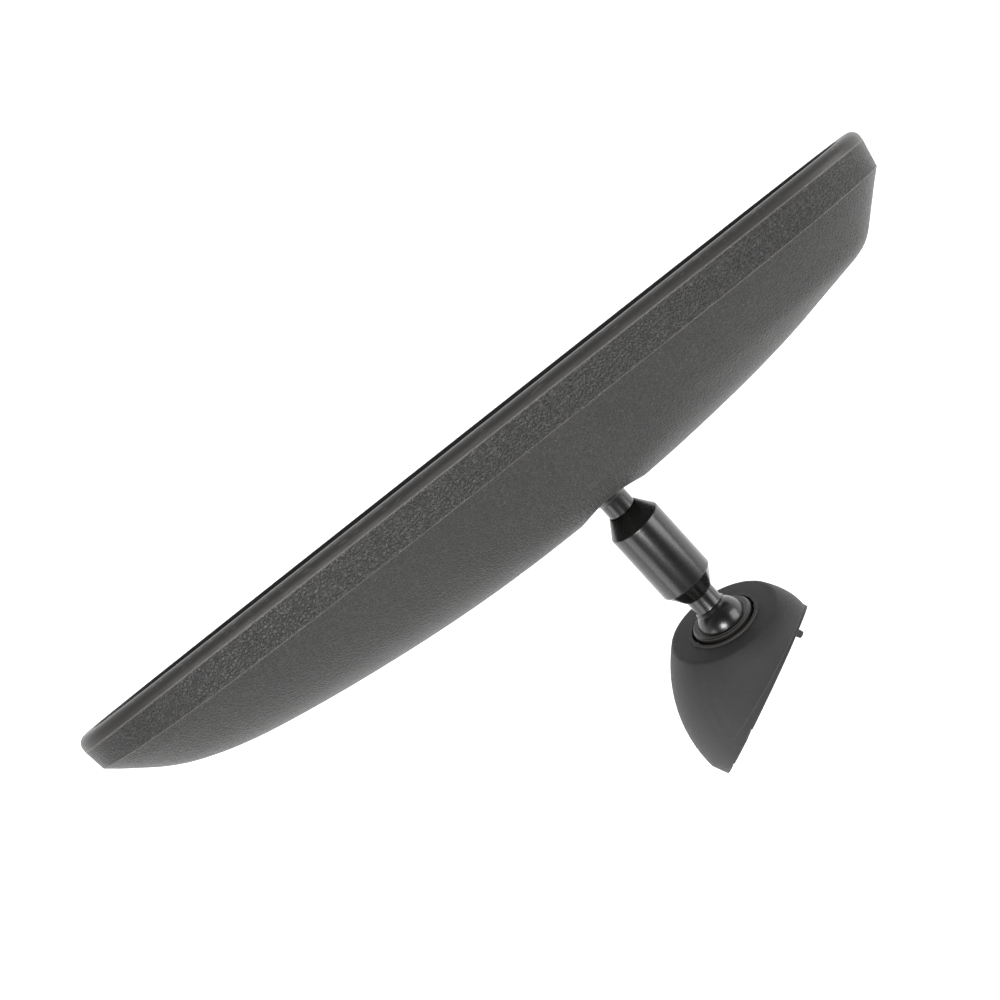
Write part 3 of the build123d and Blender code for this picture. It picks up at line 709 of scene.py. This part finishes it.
@dataclass
class Arm:
    """Turned sleeve and two ball studs in gloss black enamel."""

    ball: float = 6.5 * MM
    collar: float = 4.3 * MM
    collar_length: float = 0.8 * MM
    neck: float = 3.9 * MM
    neck_overlap: float = 0.5 * MM  # the neck runs into the sleeve by this much
    neck_fillet: float = 0.45 * MM
    sleeve: float = 7.3 * MM
    sleeve_length: float = 20.4 * MM
    cone_length: float = 4.9 * MM
    cone_end: float = 4.3 * MM
    edge: float = 0.35 * MM  # chamfer that the enamel leaves on a sharp end
    ball_foot: float = -86.0  # degrees: latitude where the ball closes to a point
    start: Vector = field(default_factory=Vector)
    end: Vector = field(default_factory=Vector)

    def __post_init__(self) -> None:
        """Take both ball centres from the joints."""
        places = {joint["name"]: joint for joint in frame["joints"]}
        self.start = Vector(places["foot_yaw"]["pos_m"])
        self.end = Vector(places["head_yaw"]["pos_m"])

    @property
    def axis(self) -> Vector:
        """Direction from the foot's ball to the head's ball."""
        return (self.end - self.start).normalized()

    @property
    def length(self) -> float:
        """Distance between the ball centres."""
        return (self.end - self.start).length

    def build(self) -> None:
        """Turn the sleeve and the studs in place of the plain CAD ones."""
        enamel = GlossEnamel().make()
        foot_shape = self.stud_shape(self.start, self.axis)
        head_shape = self.stud_shape(self.end, -self.axis)
        turned = (
            ("sleeve_turned", self.sleeve_shape(), "arm_sleeve", "arm"),
            ("foot_stud_turned", foot_shape, "foot_ball_stud", "foot_stud"),
            ("head_stud_turned", head_shape, "head_ball_stud", "arm"),
        )
        for name, shape, node, body in turned:
            piece = finish_mesh(name, shape, TURNED_CREASE)
            piece.data.materials.append(enamel)
            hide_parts(node)
            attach(piece, body)
            LOG.info("%s stands for %s", piece.name, node)

    def sleeve_shape(self) -> bmesh.types.BMesh:
        """Turn the sleeve, its creases rounded by the enamel.

        Returns:
            The turned sleeve.
        """
        low = self.length / 2 - self.sleeve_length / 2
        high = self.length / 2 + self.sleeve_length / 2
        foot_end = low - self.cone_length
        head_end = high + self.cone_length
        slope = math.degrees(math.atan2(self.sleeve - self.cone_end, self.cone_length))
        crease = self.edge * 2
        inset = crease * math.tan(math.radians(slope / 2))
        profile = [(0, foot_end), (self.cone_end - self.edge, foot_end)]
        profile.append((self.cone_end, foot_end + self.edge))
        profile += arc((self.sleeve - crease, low + inset), crease, slope - 90, 0, 5)
        profile += arc((self.sleeve - crease, high - inset), crease, 0, 90 - slope, 5)
        profile.append((self.cone_end, head_end - self.edge))
        profile += [(self.cone_end - self.edge, head_end), (0, head_end)]
        return turn_profile(profile, self.start, self.axis)

    def stud_shape(self, centre: Vector, way: Vector) -> bmesh.types.BMesh:
        """Turn a ball, a collar with a fine fillet, and a neck up to inside the sleeve.

        Args:
            centre: The ball's centre.
            way: Direction from the ball into the sleeve.

        Returns:
            The turned stud.
        """
        neck_end = self.length / 2 - self.sleeve_length / 2 - self.cone_length + self.neck_overlap
        meet = math.sqrt(self.ball**2 - self.collar**2)
        latitude = math.degrees(math.atan2(meet, self.collar))
        profile = [(0, -self.ball)] + arc((0, 0), self.ball, self.ball_foot, latitude, 40)
        top = meet + self.collar_length
        profile += [(self.collar, top - self.edge / 2), (self.collar - self.edge / 2, top)]
        for turn in (0.5, 1.0, math.pi / 2):
            width = self.neck + (1 - math.sin(turn)) * self.neck_fillet / 2
            profile.append((width, top + (1 - math.cos(turn)) * self.neck_fillet))
        profile += [(self.neck, neck_end), (0, neck_end)]
        return turn_profile(profile, centre, way)


@dataclass
class WindscreenFoot:
    """Moulded cover over a die-cast body with its ball socket."""

    peg_radius: float = 1.1 * MM
    peg_length: float = 1.5 * MM  # how far the peg stands past the contact face
    peg_rise: float = 23.6 * MM  # from the contact centre towards the upper end
    peg_taper: float = 0.85
    peg_rounding: float = 0.4  # share of the radius

    def build(self, finishes: dict[str, bpy.types.Material]) -> None:
        """Dress the foot's nodes and add the cover's locating peg.

        Args:
            finishes: Shared finishes by name.
        """
        cover = COVER_ABS.make()
        dress("foot_cover", cover)
        for node in ("foot_body", "foot_spring_cup"):
            dress(node, finishes["zinc"])
        for node in ("foot_liner", "foot_ball_seat"):
            dress(node, finishes["nylon"])
        for node in ("foot_disc_springs", "button_clip"):
            dress(node, finishes["spring"])
        for node in ("foot_retaining_ring", "set_screw"):
            dress(node, finishes["plated"])
        self.add_peg(cover)

    def add_peg(self, cover: bpy.types.Material) -> None:
        """Add the small peg that stands past the contact edge near the upper end.

        Args:
            cover: The cover's finish.
        """
        mounts = {mount["name"]: mount for mount in frame["record"]["mounts"]}
        outward = Vector(mounts["windscreen_face"]["axis"])
        down = Vector(mounts["button_slot"]["axis"])
        middle = -down * self.peg_rise + outward * self.peg_length / 4
        shape = bmesh.new()
        bmesh.ops.create_cone(
            shape,
            cap_ends=True,
            segments=32,
            radius1=self.peg_radius,
            radius2=self.peg_radius * self.peg_taper,
            depth=self.peg_length * 1.6,
        )
        rings = [edge for edge in shape.edges if edge.calc_length() < self.peg_radius]
        bmesh.ops.bevel(
            shape,
            geom=[edge for edge in rings if min(vert.co.z for vert in edge.verts) > 0],
            offset=self.peg_radius * self.peg_rounding,
            segments=4,
            profile=0.5,
            affect="EDGES",
            material=-1,
        )
        turn = UP.rotation_difference(outward).to_matrix().to_4x4()
        bmesh.ops.transform(shape, matrix=Matrix.Translation(middle) @ turn, verts=shape.verts)
        peg = finish_mesh("locating_peg", shape)
        peg.data.materials.append(cover)
        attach(peg, "foot")
        LOG.info("locating_peg stands past the contact face")


@dataclass
class Studio:
    """Pale floor, soft light and the camera."""

    right: Vector = field(default_factory=lambda: Vector((-0.785, 0.62, 0.0)))
    distance: float = 4.0
    head_share: Vector = field(default_factory=lambda: Vector((3.3, 18.25, 0.0)) * MM)
    focus: Vector = field(init=False)
    frame_width: float = 250 * MM
    tilt: float = 1.4  # degrees from straight above, towards the glass side
    sensor: float = 36.0
    floor_drop: float = 60 * MM
    floor_size: float = 6.0
    floor_glow: float = 0.55

    def __post_init__(self) -> None:
        """Aim at a point a little behind the middle of the head's glass."""
        low, high = (Vector(corner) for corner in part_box("front_bezel"))
        middle = (low + high) / 2
        middle.y = low.y
        self.focus = middle + self.head_share

    def build(self) -> None:
        """Set up the camera, the floor, the lights and the surroundings."""
        self.add_camera()
        self.add_floor()
        self.add_lights()
        self.set_world()

    def add_camera(self) -> None:
        """Place the camera almost straight above, a little on the glass side."""
        tilt = math.radians(self.tilt)
        back = Vector((0, -math.sin(tilt), math.cos(tilt)))
        right = (self.right - back * self.right.dot(back)).normalized()
        up = back.cross(right)
        data = bpy.data.cameras.new("camera")
        data.sensor_width = self.sensor
        data.lens = self.sensor * self.distance / self.frame_width
        data.clip_end = self.distance * 5
        camera = bpy.data.objects.new("camera", data)
        turn = Matrix((right, up, back)).transposed().to_4x4()
        camera.matrix_world = Matrix.Translation(self.focus + back * self.distance) @ turn
        bpy.context.scene.collection.objects.link(camera)
        bpy.context.scene.camera = camera

    def add_floor(self) -> None:
        """Lay a wide pale floor below the mirror."""
        shape = bmesh.new()
        bmesh.ops.create_grid(shape, x_segments=1, y_segments=1, size=self.floor_size)
        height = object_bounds()[0][2] - self.floor_drop
        bmesh.ops.translate(shape, verts=shape.verts, vec=(0, 0, height))
        floor = finish_mesh("floor", shape)
        # Matt white paper with a little glow, so that the floor stays even behind the mirror.
        material, shader = new_material("pale_matt_floor")
        shader.inputs["Base Color"].default_value = linear("#f7f7f7")
        shader.inputs["Roughness"].default_value = 0.9
        shader.inputs["Emission Color"].default_value = linear("#ffffff")
        shader.inputs["Emission Strength"].default_value = self.floor_glow
        floor.data.materials.append(material)
        floor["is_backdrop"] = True

    def add_lights(self) -> None:
        """Hang a soft box above and two fill panels at the sides."""
        panels = (
            ("overhead", Vector((0.30, 0.35, 1.25)), (0.55, 0.40), 15.0),
            ("left_fill", Vector((1.3, 0.5, 0.45)), (0.9, 0.7), 5.0),
            ("right_fill", Vector((-1.2, 0.1, 0.7)), (0.9, 0.9), 12.0),
        )
        for name, place, size, power in panels:
            data = bpy.data.lights.new(name, "AREA")
            data.shape = "RECTANGLE"
            data.size, data.size_y = size
            data.energy = power
            lamp = bpy.data.objects.new(name, data)
            aim = (self.focus - place).to_track_quat("-Z", "Y")
            lamp.matrix_world = Matrix.Translation(place) @ aim.to_matrix().to_4x4()
            bpy.context.scene.collection.objects.link(lamp)

    def set_world(self) -> None:
        """Surround the mirror with white walls under a dimmer ceiling."""
        world = bpy.data.worlds.new("surround")
        world.use_nodes = True
        tree = world.node_tree
        place = add_node(world, "ShaderNodeTexCoord").outputs["Generated"]
        height = add_node(world, "ShaderNodeSeparateXYZ", {0: place}).outputs["Z"]
        strength = add_node(
            world,
            "ShaderNodeMapRange",
            {"Value": height, "From Min": -0.1, "From Max": 0.9, "To Min": 1.0, "To Max": 0.12},
            interpolation_type="SMOOTHSTEP",
        )
        tree.links.new(strength.outputs["Result"], tree.nodes["Background"].inputs["Strength"])
        tree.nodes["Background"].inputs["Color"].default_value = (1, 1, 1, 1)
        bpy.context.scene.world = world
        bpy.context.scene.view_settings.view_transform = "Standard"


# ---- the whole ------------------------------------------------------------------------------


def shared_finishes() -> dict[str, bpy.types.Material]:
    """Make the finishes that several sub-assemblies share.

    Returns:
        Materials by short name.
    """
    return {
        "foam": PAD_FOAM.make(),
        "nylon": BLACK_NYLON.make(),
        "plated": ZINC_PLATE.make(),
        "spring": SPRING_STEEL.make(),
        "zinc": CAST_ZINC.make(),
    }


def main() -> None:
    """Build the studio, then dress and detail each sub-assembly."""
    logging.basicConfig(level=logging.INFO, format="%(message)s")
    Studio().build()
    finishes = shared_finishes()
    MirrorHead().build(finishes)
    Arm().build()
    WindscreenFoot().build(finishes)


if __name__ == "__main__":
    main()
